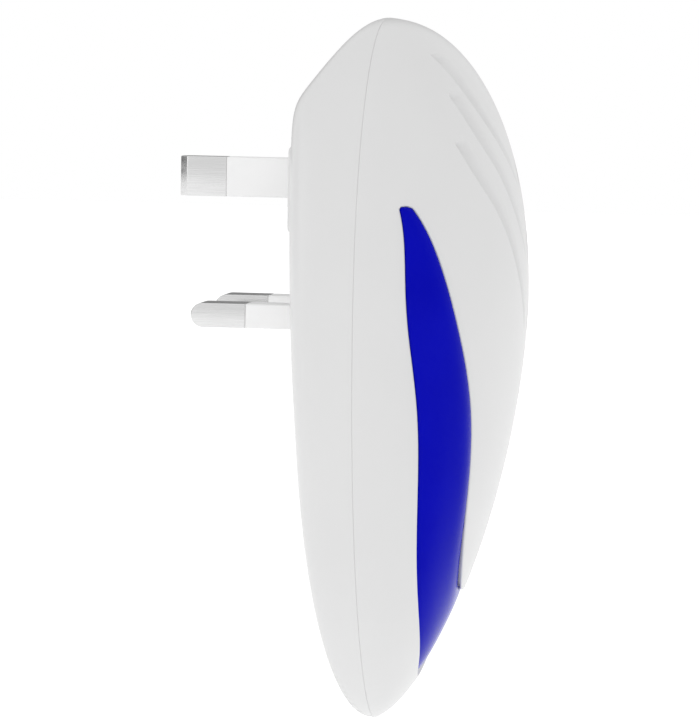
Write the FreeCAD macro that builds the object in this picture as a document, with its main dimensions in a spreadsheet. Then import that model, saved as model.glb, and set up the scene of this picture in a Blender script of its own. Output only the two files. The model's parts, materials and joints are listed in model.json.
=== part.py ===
import FreeCAD, Part
import math
import os
import re
import Sketcher
from FreeCAD import Placement, Rotation, Vector

# Plug-in ultrasonic pest repeller with a UK three-pin plug. All sizes are in millimetres.
# The origin is on the plug's mating face, midway between the live and neutral pins.
# +Y points into the socket, +Z is up, and the rounded front of the case faces -Y.
# "Depth" is the distance in front of the mating face, so a depth d lies at y = -d.

DIMS = [
    # case
    ("case_half_width", 34.0, "half the width at the widest level"),
    ("case_top", 49.0, "height of the case's top above the live pin"),
    ("case_bottom", -67.6, "height of the case's lowest point"),
    ("case_widest", 2.0, "level of the greatest width"),
    ("apex_level", 3.0, "level where the front stands out furthest"),
    ("parting_depth", 13.0, "depth of the parting plane, where each level is widest"),
    ("front_depth", 24.2, "how far the front reaches in front of the parting plane"),
    ("back_depth", 10.85, "how far the back reaches behind the parting plane"),
    ("back_lean", 0.0365, "how far the back leans towards the wall per millimetre up"),
    ("lean_level", -17.0, "level where the back starts to lean"),
    ("shoulder_drop", 0.5, "how far the back curves away before the shoulder"),
    ("shoulder_level", 35.4, "level where the back turns into its top slope"),
    ("shoulder_slope", 0.70, "steepness of the top slope"),
    ("wall", 2.0, "wall thickness of both covers"),
    ("groove_depth", 0.7, "depth of the sound grooves"),
    # lens
    ("lens_bulge", 0.6, "how far the lens stands proud of the case"),
    ("guide_gap", 0.6, "space between the lens and the light guide"),
    ("guide_thick", 1.2, "thickness of the light guide"),
    # plug, its pins spaced as in BS 1363
    ("pin_offset", 11.11, "live or neutral pin's distance from the middle"),
    ("earth_height", 22.23, "earth pin's height above the live pin"),
    ("line_pin_width", 6.35, "live or neutral pin's width"),
    ("line_pin_thick", 3.97, "live or neutral pin's thickness"),
    ("line_pin_reach", 16.7, "live or neutral pin's length beyond the mating face"),
    ("line_bare", 9.1, "bare length at the live or neutral pin's end"),
    ("earth_pin_width", 3.97, "earth pin's width"),
    ("earth_pin_tall", 6.6, "earth pin's height"),
    ("earth_pin_reach", 21.2, "earth pin's length beyond the mating face"),
    ("earth_bare", 7.9, "bare length at the earth pin's end"),
    ("earth_chamfer", 1.2, "chamfer at the earth pin's end"),
    ("pin_root", 9.0, "depth of the pins' inner ends"),
    ("sleeve_wall", 0.4, "thickness of the pin sleeves"),
    ("sleeve_root", 4.4, "depth of the sleeves' inner ends"),
    ("pin_clear", 0.1, "clearance round a pin in the rear cover"),
    ("earth_pad_width", 42.0, "width of the raised pad round the earth pin"),
    ("earth_pad_tall", 15.0, "height of the raised pad"),
    ("earth_pad_level", 21.0, "level of the raised pad's middle"),
    ("earth_pad_bevel", 0.6, "bevel round the raised pad"),
    ("earth_pad_root", 2.4, "depth to which the raised pad runs into the back"),
    ("tab_wide", 5.0, "width and height of a line pin's solder tab"),
    ("tab_thick", 0.8, "thickness of a solder tab"),
    # pin retainer
    ("clamp_depth", 4.6, "depth of the retainer's rear face"),
    ("clamp_thick", 2.8, "thickness of the retainer"),
    ("clamp_half_width", 17.0, "half the width of the retainer's bar"),
    ("clamp_bar_top", 6.0, "level of the top of the retainer's bar"),
    ("clamp_bar_bottom", -6.0, "level of the bottom of the retainer's bar"),
    ("clamp_stem_half", 7.0, "half the width of the retainer's stem"),
    ("clamp_stem_top", 29.0, "level of the top of the retainer's stem"),
    ("clamp_corner", 1.0, "radius of the retainer's outer corners"),
    ("clamp_rest_x", 17.5, "outer retainer rests' distance from the middle"),
    # main board
    ("board_depth", 15.0, "depth of the board's rear face"),
    ("board_thick", 1.6, "thickness of the board"),
    ("board_half_width", 20.0, "half the board's width"),
    ("board_top", 33.0, "level of the board's top"),
    ("board_bottom", -32.5, "level of the board's bottom"),
    ("board_corner", 3.0, "radius of the board's corners"),
    ("board_post_x", 16.0, "board posts' distance from the middle"),
    ("board_post_z", 28.5, "board posts' distance above and below the live pin"),
    ("board_post_wide", 5.0, "diameter of a board post"),
    # case screws
    ("upper_screw_x", 24.0, "upper case screws' distance from the middle"),
    ("upper_screw_z", 14.0, "level of the upper case screws"),
    ("lower_screw_z", -38.0, "level of the lower case screw"),
    ("case_post_wide", 5.6, "diameter of the front cover's screw posts"),
    ("well_post_wide", 7.2, "diameter of the rear cover's screw posts"),
    ("screw_well_wide", 5.4, "diameter of the wells that the screw heads sink into"),
    ("screw_wide", 2.6, "diameter of a case screw's shank"),
    ("screw_head_wide", 4.8, "diameter of a case screw's head"),
    ("screw_head_thick", 1.8, "thickness of a case screw's head"),
    ("screw_seat", 8.0, "depth of the case screws' seats"),
    ("screw_long", 12.0, "length of a case screw under its head"),
    ("board_screw_wide", 2.2, "diameter of a board screw's shank"),
    ("board_head_wide", 4.4, "diameter of a board screw's head"),
    ("board_screw_long", 7.0, "length of a board screw under its head"),
    ("screw_clear", 0.2, "clearance round a screw's shank, on the diameter"),
    ("pilot_spare", 0.5, "depth of a case screw's pilot hole beyond its end"),
    ("board_pilot_spare", 0.4, "depth of a board screw's pilot hole beyond its end"),
    ("slot_long", 2.6, "length of each arm of a screw head's cross"),
    ("slot_wide", 0.6, "width of each arm of the cross"),
    ("slot_deep", 0.9, "depth of the cross"),
    # board components
    ("coil_x", 7.6, "transformer's distance from the middle"),
    ("coil_z", -13.0, "level of the transformer's middle"),
    ("core_wide", 11.6, "width of the transformer core"),
    ("core_high", 6.0, "height of the core above the board"),
    ("core_leg_tall", 1.8, "thickness of each leg of the core"),
    ("core_leg_z", 5.2, "legs' distance above and below the transformer's middle"),
    ("led_wide", 5.0, "diameter of a light-emitting diode"),
    ("led_rim_wide", 5.8, "diameter of the diode's rim"),
    ("led_rim_thick", 1.0, "thickness of the rim"),
    ("led_high", 6.4, "height of the diode above the board"),
    ("led_dome", 2.3, "radius of the diode's dome"),
    # transducer
    ("piezo_level", 12.0, "level of the transducer's middle"),
    ("piezo_disc_wide", 27.0, "diameter of the transducer's brass disc"),
    ("piezo_disc_thick", 0.4, "thickness of the brass disc"),
    ("ceramic_wide", 20.0, "diameter of the ceramic element"),
    ("ceramic_thick", 0.3, "thickness of the ceramic element"),
    ("ring_wide", 30.0, "diameter of the chamber ring"),
    ("ring_bore", 24.0, "bore of the chamber ring"),
    ("ring_depth", 24.6, "depth of the chamber ring's rear face"),
    ("ring_thick", 6.2, "thickness of the chamber ring"),
]

# Front views, as (x, z) on the right-hand side, listed from the top to the middle line.
LENS_OUTER = [(31.0, 18.6), (31.9, 5.0), (29.5, -14.0), (21.3, -40.0), (8.8, -55.6), (0, -60.2)]
LENS_INNER = [(29.2, 18.6), (26.6, 3.0), (20.4, -15.2), (14.4, -32.0), (7.2, -42.0), (0, -45.6)]
GROOVES = [
    [(12.6, 43.2), (12.2, 36.5), (9.0, 30.6), (4.6, 25.6), (1.2, 21.8)],
    [(16.6, 37.0), (15.4, 30.6), (11.8, 24.8), (7.4, 18.4), (1.4, 10.2)],
    [(20.8, 29.2), (19.2, 24.4), (15.6, 19.2), (11.0, 12.6), (1.6, -2.2)],
]
GROOVE_WIDTH = 1.9
GROOVE_END_WIDTH = 0.4

# How each profile of the case fades to its tips: 1 - t^p, raised to q, above and below its level.
WIDTH_FADE = ((2.2, 0.476), (2.0, 0.60))
FRONT_FADE = ((2.1, 0.476), (1.7, 0.67))
BACK_FADE = ((30.0, 0.5), (2.2, 0.48))
# Exponents of the level sections: the front is close to an ellipse, the back is squarer.
FRONT_SECTION = (2.0, 2.1)
BACK_SECTION = (7.0, 7.0)
# Rows of surface poles above and below the widest level, poles across it, and the tips' cut.
LEVELS = 16
SPANS = 18
TIP = 0.2
# A length beyond every piece, and the distance by which a front-view cut clears the parting plane.
FAR = 100.0
SKIP = 0.5

doc = FreeCAD.newDocument("PestRepeller")
sheet = doc.addObject("Spreadsheet::Sheet", "dims")
for line, (alias, value, note) in enumerate(DIMS, start=1):
    sheet.set("A%d" % line, alias)
    sheet.set("B%d" % line, str(value))
    sheet.set("C%d" % line, note)
    sheet.setAlias("B%d" % line, alias)
doc.recompute()


def dim(alias):
    return float(sheet.get(alias))


def value(text):
    """The number that an expression of the sheet's names gives."""
    return float(sheet.evalExpression(text))


def cells(text):
    """The same expression as a property of another object is bound to."""
    return re.sub(r"[a-z]\w*", lambda name: "dims." + name.group(), text)


def bind(thing, **properties):
    for name, text in properties.items():
        thing.setExpression(name, cells(text))


def place(thing, x="0", depth="0", z="0", turn=None):
    """Puts a piece's own origin at x, at a depth in front of the mating face, and at a level z."""
    if turn:
        thing.Placement = Placement(Vector(0, 0, 0), turn)
    spot = {"Placement.Base.x": x, "Placement.Base.y": "-(%s)" % depth, "Placement.Base.z": z}
    bind(thing, **spot)
    return thing


SUBPARTS = []


def keep(thing, label):
    """Names a finished sub-part, which is then written to a file of that name."""
    thing.Label = label
    SUBPARTS.append(thing)
    return thing


# ---- sketches and features -------------------------------------------------------------------


def start_body(name):
    return doc.addObject("PartDesign::Body", name)


def sketch_on(body, name, role):
    sketch = body.newObject("Sketcher::SketchObject", name)
    plane = [item for item in body.Origin.OriginFeatures if item.Role == role][0]
    sketch.AttachmentSupport = (plane, [""])
    sketch.MapMode = "FlatFace"
    return sketch


def bind_point(sketch, geometry, point, across, along):
    """Fixes one point of a sketch at two expressions, measured from the sketch's origin."""
    for kind, axis, text in (("DistanceX", -2, across), ("DistanceY", -1, along)):
        if abs(value(text)) < 1e-9:
            sketch.addConstraint(Sketcher.Constraint("PointOnObject", geometry, point, axis))
        else:
            rule = Sketcher.Constraint(kind, -1, 1, geometry, point, value(text))
            row = sketch.addConstraint(rule)
            sketch.setExpression("Constraints[%d]" % row, cells(text))


def add_outline(sketch, corners):
    """A closed outline of straight lines through corners, each a pair of expressions."""
    first = sketch.GeometryCount
    spots = [Vector(value(across), value(along), 0) for across, along in corners]
    for start, end in zip(spots, spots[1:] + spots[:1]):
        sketch.addGeometry(Part.LineSegment(start, end))
    for index in range(len(spots)):
        after = first + (index + 1) % len(spots)
        sketch.addConstraint(Sketcher.Constraint("Coincident", first + index, 2, after, 1))
    for index, (across, along) in enumerate(corners):
        bind_point(sketch, first + index, 1, across, along)


def add_rectangle(sketch, width, tall, x="0", z="0"):
    left, right = "(%s) - (%s) / 2" % (x, width), "(%s) + (%s) / 2" % (x, width)
    low, high = "(%s) - (%s) / 2" % (z, tall), "(%s) + (%s) / 2" % (z, tall)
    add_outline(sketch, [(left, low), (right, low), (right, high), (left, high)])


def add_circle(sketch, wide, x="0", z="0"):
    centre = Vector(value(x), value(z), 0)
    index = sketch.addGeometry(Part.Circle(centre, Vector(0, 0, 1), value(wide) / 2))
    row = sketch.addConstraint(Sketcher.Constraint("Diameter", index, value(wide)))
    sketch.setExpression("Constraints[%d]" % row, cells(wide))
    bind_point(sketch, index, 3, x, z)


def pad(body, sketch, length, towards_wall=False):
    """Extrudes a front-view sketch towards the front of the case, or towards the wall."""
    feature = body.newObject("PartDesign::Pad", sketch.Name + "_pad")
    feature.Profile = sketch
    feature.Reversed = towards_wall
    bind(feature, Length=length)
    doc.recompute()
    return feature


def pocket(body, sketch):
    """Cuts a front-view sketch through everything, and makes sure that it has removed material."""
    before = body.Shape.Volume
    feature = body.newObject("PartDesign::Pocket", sketch.Name + "_pocket")
    feature.Profile = sketch
    feature.Type = "ThroughAll"
    feature.Midplane = True
    doc.recompute()
    if body.Shape.Volume >= before - 1e-6:
        raise RuntimeError("%s removed nothing" % feature.Name)
    return feature


def turned(name, profile):
    """A body of revolution about the front-to-back axis, its profile given as (radius, depth)."""
    body = start_body(name)
    sketch = sketch_on(body, name + "_profile", "XY_Plane")
    add_outline(sketch, [(radius, "-(%s)" % depth) for radius, depth in profile])
    feature = body.newObject("PartDesign::Revolution", name + "_turn")
    feature.Profile = sketch
    feature.ReferenceAxis = (sketch, ["V_Axis"])
    feature.Angle = 360.0
    doc.recompute()
    return body


def dress(body, kind, size, chosen):
    """A Fillet or Chamfer on the edges of a body that the function chosen accepts."""
    names = ["Edge%d" % (n + 1) for n, edge in enumerate(body.Shape.Edges) if chosen(edge)]
    base = body.Tip
    feature = body.newObject("PartDesign::" + kind, body.Name + "_" + kind.lower())
    feature.Base = (base, names)
    bind(feature, **{"Radius" if kind == "Fillet" else "Size": size})
    doc.recompute()
    return feature


def runs_through(edge):
    """Whether an edge is a straight line from front to back."""
    box = edge.BoundBox
    return box.XLength + box.ZLength < 1e-6 < box.YLength


def cylinder(name, wide, x, z, start, end):
    """A round bar along the front-to-back axis between two depths."""
    bar = doc.addObject("Part::Cylinder", name)
    bind(bar, Radius="(%s) / 2" % wide, Height="(%s) - (%s)" % (end, start))
    return place(bar, x, start, z, Rotation(Vector(1, 0, 0), 90))


def block(name, width, tall, x, z, start, end):
    """A rectangular block centred on x and z between two depths."""
    box = doc.addObject("Part::Box", name)
    bind(box, Length=width, Width="(%s) - (%s)" % (end, start), Height=tall)
    return place(box, "(%s) - (%s) / 2" % (x, width), end, "(%s) - (%s) / 2" % (z, tall))


def fuse(name, pieces):
    feature = doc.addObject("Part::MultiFuse", name)
    feature.Shapes = pieces
    return feature


def common(name, base, tool):
    feature = doc.addObject("Part::Common", name)
    feature.Base, feature.Tool = base, tool
    return feature


def cut(name, base, tool):
    feature = doc.addObject("Part::Cut", name)
    feature.Base, feature.Tool = base, tool
    return feature


def shaped(name, shape):
    """A document object for a free-form shape."""
    feature = doc.addObject("Part::Feature", name)
    feature.Shape = shape
    return feature


# ---- free-form case --------------------------------------------------------------------------


def fade(level, widest, top, bottom, powers):
    """How much of its full size a profile has at a level: 1 at its widest level, 0 at the tips."""
    upper = level > widest
    reach = top - widest if upper else bottom - widest
    power, root = powers[0] if upper else powers[1]
    return (1 - min((level - widest) / reach, 1.0) ** power) ** root


def tip_levels(inset):
    return dim("case_top") - inset, dim("case_bottom") + inset


def level_sizes(level, inset):
    """Half-width, front depth and back depth of the case at a level, inset from its surface."""
    top, bottom = tip_levels(inset)
    widest, apex = dim("case_widest"), dim("apex_level")
    width = (dim("case_half_width") - inset) * fade(level, widest, top, bottom, WIDTH_FADE)
    front = (dim("front_depth") - inset) * fade(level, apex, top, bottom, FRONT_FADE)
    lean = dim("back_lean") * max(level - dim("lean_level"), 0)
    slope = dim("shoulder_slope") * (level + inset / 2 - dim("shoulder_level"))
    full_lean = dim("back_lean") * (dim("shoulder_level") - dim("lean_level"))
    back = dim("back_depth") - inset + min(lean, full_lean - dim("shoulder_drop") - slope)
    return width, front, back * fade(level, widest, top, bottom, BACK_FADE)


def case_patch(inset, front):
    """The front or back surface of the case as one B-spline patch, its tips cut small and flat."""
    top, bottom = tip_levels(inset)
    middle, parting = dim("case_widest"), dim("parting_depth")
    across, along = FRONT_SECTION if front else BACK_SECTION
    rows = []
    for step in range(-LEVELS, LEVELS + 1):
        reach = top - middle if step > 0 else middle - bottom
        turn = math.pi / 2 * step / LEVELS
        inside = math.copysign(min(abs(turn), math.pi / 2 * (1 - TIP / LEVELS)), turn)
        width, forward, backward = level_sizes(middle + reach * math.sin(inside), inset)
        deep = forward if front else -backward
        row = []
        for span in range(SPANS + 1):
            angle = math.pi * span / SPANS
            aside = math.copysign(abs(math.cos(angle)) ** (2 / across), math.cos(angle))
            out = abs(math.sin(angle)) ** (2 / along) if 0 < span < SPANS else 0.0
            z = middle + reach * math.sin(turn)
            row.append(Vector(width * aside, -parting - deep * out, z))
        rows.append(row)
    surface = Part.BSplineSurface()
    level_knots, level_mults = clamped_knots(len(rows))
    span_knots, span_mults = clamped_knots(SPANS + 1)
    surface.buildFromPolesMultsKnots(
        rows, level_mults, span_mults, level_knots, span_knots, False, False, 3, 3
    )
    return surface


def clamped_knots(poles):
    """Even knots of a cubic B-spline with this many poles, and how often each counts."""
    return [float(n) for n in range(poles - 2)], [4] + [1] * (poles - 4) + [4]


def joined(faces):
    shell = Part.makeShell(faces)
    shell.sewShape()
    return Part.Solid(shell)


def case_solid(inset):
    """The whole case as a solid, its surface moved inwards by the inset."""
    front, back = case_patch(inset, True), case_patch(inset, False)
    ends = (0, front.UKnotSequence[-1])
    caps = [Part.Face(Part.Wire([front.uIso(u).toShape(), back.uIso(u).toShape()])) for u in ends]
    return joined([front.toShape(), back.toShape()] + caps)


def half_case(inset, front):
    """The case in front of the parting plane, or behind it, as a solid."""
    surface = case_patch(inset, front)
    faces = [surface.toShape()]
    chords = []
    for u in (0, surface.UKnotSequence[-1]):
        arc = surface.uIso(u).toShape()
        chords.append(Part.LineSegment(arc.Vertexes[0].Point, arc.Vertexes[-1].Point).toShape())
        faces.append(Part.Face(Part.Wire([arc, chords[-1]])))
    sides = [surface.vIso(v).toShape() for v in (0, surface.VKnotSequence[-1])]
    faces.append(Part.Face(Part.Wire(Part.__sortEdges__(sides + chords))))
    return joined(faces)


def spline_through(spots):
    curve = Part.BSplineCurve()
    curve.interpolate([Vector(x, 0, z) for x, z in spots])
    return curve.toShape()


def mirrored(spots):
    """A right-hand line that ends on the middle line, carried on to the left-hand side."""
    return spots + [(-x, z) for x, z in reversed(spots[:-1])]


def lens_face():
    """The lens's front view: a wishbone whose two arms end in round tips."""
    outer, inner = LENS_OUTER[0], LENS_INNER[0]
    tip = ((outer[0] + inner[0]) / 2, outer[1] + (outer[0] - inner[0]) / 2)
    edges = [spline_through(mirrored(LENS_OUTER)), spline_through(mirrored(LENS_INNER))]
    for side in (1, -1):
        spots = [Vector(side * x, 0, z) for x, z in (outer, tip, inner)]
        edges.append(Part.Arc(*spots).toShape())
    return Part.Face(Part.Wire(Part.__sortEdges__(edges)))


def groove_faces():
    """The front view of each sound groove: a strip above its lower edge, narrower towards the middle."""
    faces = []
    for spots in GROOVES:
        last = len(spots) - 1
        upper = []
        for n, (x, z) in enumerate(spots):
            before, after = spots[max(n - 1, 0)], spots[min(n + 1, last)]
            run = Vector(after[0] - before[0], 0, after[1] - before[1]).normalize()
            width = GROOVE_END_WIDTH + (GROOVE_WIDTH - GROOVE_END_WIDTH) * (1 - n / last) ** 0.7
            upper.append((x + run.z * width, z - run.x * width))
        for side in (1, -1):
            low = [(side * x, z) for x, z in spots]
            high = [(side * x, z) for x, z in upper]
            edges = [spline_through(low), spline_through(high)]
            for n in (0, last):
                ends = [Vector(x, 0, z) for x, z in (low[n], high[n])]
                edges.append(Part.LineSegment(*ends).toShape())
            faces.append(Part.Face(Part.Wire(Part.__sortEdges__(edges))))
    return faces


def forwards(face):
    """A front-view face carried forwards through the front cover, from just before the parting plane."""
    moved = face.copy()
    moved.translate(Vector(0, -dim("parting_depth") - SKIP, 0))
    return moved.extrude(Vector(0, -FAR, 0))


def layer(outside, inside):
    """The space between two insets of the case."""
    return case_solid(outside).cut(case_solid(inside))


wall = dim("wall")
case_form = shaped("case_form", case_solid(0.0))
cavity_form = shaped("cavity_form", case_solid(wall))
post_form = shaped("post_form", case_solid(wall / 2))
lens_view = lens_face()


def front_shell():
    shell = half_case(0.0, True).cut(case_solid(wall))
    skin = layer(-1.0, dim("groove_depth"))
    for face in groove_faces():
        shell = shell.cut(forwards(face).common(skin))
    return shell.cut(forwards(lens_view))


def rear_shell():
    return half_case(0.0, False).cut(case_solid(wall))


def lens_shape():
    """The lens fills its opening through the wall and stands a little proud of the case."""
    return forwards(lens_view).common(layer(-dim("lens_bulge"), wall))


def guide_shape():
    outside = wall + dim("guide_gap")
    return forwards(lens_view).common(layer(outside, outside + dim("guide_thick")))


# ---- covers ----------------------------------------------------------------------------------

CASE_SCREWS = [
    ("upper_screw_x", "upper_screw_z"),
    ("-upper_screw_x", "upper_screw_z"),
    ("0", "lower_screw_z"),
]
BOARD_POSTS = [
    (x, z)
    for x in ("board_post_x", "-board_post_x")
    for z in ("board_post_z", "-board_post_z")
]
LINE_PINS = [("live", "pin_offset"), ("neutral", "-pin_offset")]
FACE = "board_depth + board_thick"


def make_front_cover():
    """The rounded front, with its lens opening, grooves and three screw posts."""
    shell = shaped("front_shell", front_shell())
    posts = [
        cylinder("front_post_%d" % n, "case_post_wide", x, z, "parting_depth", "front_depth * 2")
        for n, (x, z) in enumerate(CASE_SCREWS, start=1)
    ]
    inside = common("front_posts", fuse("front_post_bars", posts), post_form)
    holes = [
        cylinder("front_pilot_%d" % n, "screw_wide", x, z,
                 "parting_depth - 1", "screw_seat + screw_long + pilot_spare")
        for n, (x, z) in enumerate(CASE_SCREWS, start=1)
    ]
    solid = fuse("front_whole", [shell, inside])
    keep(cut("front_cut", solid, fuse("front_pilots", holes)), "front_cover")


def make_rear_cover():
    """The flat back with its raised earth pad, pin holes, screw wells and posts for the board."""
    shell = shaped("rear_shell", rear_shell())
    bars = [
        cylinder("case_post_%d" % n, "well_post_wide", x, z, "0", "parting_depth")
        for n, (x, z) in enumerate(CASE_SCREWS, start=1)
    ]
    bars += [
        cylinder("board_post_%d" % n, "board_post_wide", x, z, "0", "board_depth")
        for n, (x, z) in enumerate(BOARD_POSTS, start=1)
    ]
    bars += [
        cylinder("clamp_rest_%d" % n, "board_post_wide", x, "0", "0", "clamp_depth")
        for n, x in enumerate(("0", "clamp_rest_x", "-clamp_rest_x"), start=1)
    ]
    bars.append(cylinder("clamp_rest_top", "board_post_wide", "0", "clamp_stem_top",
                         "0", "clamp_depth"))
    posts = common("rear_posts", fuse("rear_post_bars", bars), case_form)

    raised = start_body("earth_pad")
    view = sketch_on(raised, "earth_pad_view", "XZ_Plane")
    add_rectangle(view, "earth_pad_width", "earth_pad_tall", "0", "earth_pad_level")
    pad(raised, view, "earth_pad_root")
    dress(raised, "Chamfer", "earth_pad_bevel", lambda edge: edge.BoundBox.YMin > -1e-6)

    holes = [
        block("earth_hole", "earth_pin_width + 2 * pin_clear", "earth_pin_tall + 2 * pin_clear",
              "0", "earth_height", "-1", "pin_root")
    ]
    for name, x in LINE_PINS:
        holes.append(block(name + "_hole", "line_pin_width + 2 * pin_clear",
                           "line_pin_thick + 2 * pin_clear", x, "0", "-1", "pin_root"))
    for n, (x, z) in enumerate(CASE_SCREWS, start=1):
        holes.append(cylinder("well_%d" % n, "screw_well_wide", x, z, "-1", "screw_seat"))
        holes.append(cylinder("through_%d" % n, "screw_wide + screw_clear", x, z,
                              "screw_seat - 1", "parting_depth + 1"))
    for n, (x, z) in enumerate(BOARD_POSTS, start=1):
        holes.append(cylinder("board_pilot_%d" % n, "board_screw_wide", x, z,
                              FACE + " - board_screw_long - board_pilot_spare", "board_depth + 1"))
    solid = fuse("rear_whole", [shell, posts, raised])
    keep(cut("rear_cut", solid, fuse("rear_holes", holes)), "rear_cover")


# ---- plug ------------------------------------------------------------------------------------


def make_pin(name, width, tall, reach, bare, x, z):
    """A brass pin: a core inside the case and the sleeve, and a full-size bare end."""
    body = start_body(name + "_pin_body")
    core = sketch_on(body, name + "_core", "XZ_Plane")
    core.setExpression("AttachmentOffset.Base.z", cells("pin_root"))
    add_rectangle(core, width + " - 2 * sleeve_wall", tall + " - 2 * sleeve_wall")
    pad(body, core, "pin_root + %s - %s" % (reach, bare), towards_wall=True)
    end = sketch_on(body, name + "_end", "XZ_Plane")
    end.setExpression("AttachmentOffset.Base.z", cells("%s - %s" % (bare, reach)))
    add_rectangle(end, width, tall)
    pad(body, end, bare, towards_wall=True)
    place(body, x, "0", z)
    return keep(body, name + "_pin")


def make_sleeve(name, width, tall, reach, bare, x, z):
    body = start_body(name + "_sleeve_body")
    view = sketch_on(body, name + "_sleeve_view", "XZ_Plane")
    view.setExpression("AttachmentOffset.Base.z", cells("sleeve_root"))
    add_rectangle(view, width, tall)
    add_rectangle(view, width + " - 2 * sleeve_wall", tall + " - 2 * sleeve_wall")
    pad(body, view, "sleeve_root + %s - %s" % (reach, bare), towards_wall=True)
    place(body, x, "0", z)
    keep(body, name + "_sleeve")


def make_plug():
    earth = ("earth", "earth_pin_width", "earth_pin_tall", "earth_pin_reach", "earth_bare",
             "0", "earth_height")
    pin = make_pin(*earth)
    tip = dim("earth_pin_reach")
    dress(pin, "Chamfer", "earth_chamfer",
          lambda edge: edge.BoundBox.YMin > tip - 1e-6 and edge.BoundBox.ZLength > 1)
    make_sleeve(*earth)
    for name, x in LINE_PINS:
        line = (name, "line_pin_width", "line_pin_thick", "line_pin_reach", "line_bare",
                x, "0")
        pin = make_pin(*line)
        tip = dim("line_pin_reach")
        dress(pin, "Fillet", "line_pin_thick * 0.49",
              lambda edge: edge.BoundBox.YMin > tip - 1e-6 and edge.BoundBox.XLength > 1)
        make_sleeve(*line)
        tab = block(name + "_tab_block", "tab_wide", "tab_wide", x, "0",
                    "pin_root", "pin_root + tab_thick")
        keep(tab, name + "_tab")


def make_pin_retainer():
    """The T-shaped plate that holds the three pins from inside."""
    body = start_body("pin_retainer_body")
    view = sketch_on(body, "retainer_view", "XZ_Plane")
    bar = ("clamp_bar_bottom", "clamp_bar_top")
    right = [("clamp_half_width", bar[0]), ("clamp_half_width", bar[1]),
             ("clamp_stem_half", bar[1]), ("clamp_stem_half", "clamp_stem_top")]
    left = [("-" + x, z) for x, z in reversed(right)]
    add_outline(view, right + left)
    pad(body, view, "clamp_thick")
    slots = sketch_on(body, "retainer_slots", "XZ_Plane")
    slack = " - 2 * sleeve_wall + 2 * pin_clear"
    add_rectangle(slots, "earth_pin_width" + slack, "earth_pin_tall" + slack, "0", "earth_height")
    for name, x in LINE_PINS:
        add_rectangle(slots, "line_pin_width" + slack, "line_pin_thick" + slack, x, "0")
    pocket(body, slots)
    sides = (dim("clamp_stem_half"), dim("clamp_half_width"))
    dress(body, "Fillet", "clamp_corner",
          lambda edge: runs_through(edge) and min(abs(abs(edge.BoundBox.XMax) - x) for x in sides) < 0.1)
    keep(place(body, "0", "clamp_depth", "0"), "pin_retainer")


# ---- light -----------------------------------------------------------------------------------

LEDS = [("upper_right", "17", "-8"), ("upper_left", "-17", "-8"),
        ("lower_right", "17", "-20.5"), ("lower_left", "-17", "-20.5")]


def make_light():
    keep(shaped("lens_form", lens_shape()), "lens")
    keep(shaped("guide_form", guide_shape()), "light_guide")
    rim, bulb = "led_rim_wide / 2", "led_wide / 2"
    profile = [("0", "0"), (rim, "0"), (rim, "led_rim_thick"), (bulb, "led_rim_thick"),
               (bulb, "led_high"), ("0", "led_high")]
    high = dim("led_high")
    for name, x, z in LEDS:
        body = turned("led_" + name + "_body", profile)
        dress(body, "Fillet", "led_dome", lambda edge: edge.BoundBox.YMax < 0.1 - high)
        keep(place(body, x, "board_depth + board_thick", z), "led_" + name)


# ---- board and its components ----------------------------------------------------------------


def make_board():
    body = start_body("main_board_body")
    view = sketch_on(body, "board_view", "XZ_Plane")
    add_outline(view, [("-board_half_width", "board_bottom"), ("board_half_width", "board_bottom"),
                       ("board_half_width", "board_top"), ("-board_half_width", "board_top")])
    for x, z in BOARD_POSTS:
        add_circle(view, "board_screw_wide + screw_clear", x, z)
    pad(body, view, "board_thick")
    side = dim("board_half_width") - 1e-6
    dress(body, "Fillet", "board_corner",
          lambda edge: runs_through(edge) and abs(edge.BoundBox.XMax) > side)
    keep(place(body, "0", "board_depth", "0"), "main_board")


def make_upright(label, wide, tall, x, z, rim="0.5"):
    """A round component that stands on the board."""
    side = wide + " / 2"
    body = turned(label + "_body", [("0", "0"), (side, "0"), (side, tall), ("0", tall)])
    high = value(tall)
    dress(body, "Fillet", rim, lambda edge: edge.BoundBox.YMax < 0.01 - high)
    keep(place(body, x, FACE, z), label)


def make_box_part(label, width, tall, high, x, z, rim):
    """A moulded component on the board, its edges away from the board rounded."""
    body = start_body(label + "_body")
    view = sketch_on(body, label + "_view", "XZ_Plane")
    add_rectangle(view, width, tall)
    pad(body, view, high)
    raised = -value(high) + 0.01
    dress(body, "Fillet", rim, lambda edge: edge.BoundBox.YMax < raised)
    keep(place(body, x, FACE, z), label)


def make_lying(label, wide, length, spots):
    """Round components lying across the board: one bar for each place in spots."""
    bars = []
    for n, (x, z) in enumerate(spots, start=1):
        bar = doc.addObject("Part::Cylinder", "%s_bar_%d" % (label, n))
        bind(bar, Radius=wide + " / 2", Height=length)
        place(bar, "%s - %s / 2" % (x, length), "%s + %s / 2" % (FACE, wide), z,
              Rotation(Vector(0, 1, 0), 90))
        bars.append(bar)
    keep(bars[0] if len(bars) == 1 else fuse(label + "_bars", bars), label)


def make_components():
    make_box_part("film_capacitor", "17", "6", "10.5", "0", "-27.5", "0.6")
    make_box_part("transformer_coil", "9", "8.4", "9.4", "coil_x", "coil_z", "1.0")
    make_box_part("controller_chip", "9.6", "6.4", "3.4", "1", "7", "0.2")
    make_box_part("bridge_rectifier", "8", "6.4", "3.0", "-12", "14", "0.3")
    make_upright("smoothing_capacitor", "8", "11.5", "-7.6", "-12")
    make_upright("output_capacitor", "5", "7", "12.5", "24.5", "0.4")
    make_lying("fuse_resistor", "3.2", "9", [("-12.5", "3.5")])
    make_lying("resistors", "1.9", "5.6", [("12.5", level) for level in ("1", "5", "9", "13")])


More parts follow.
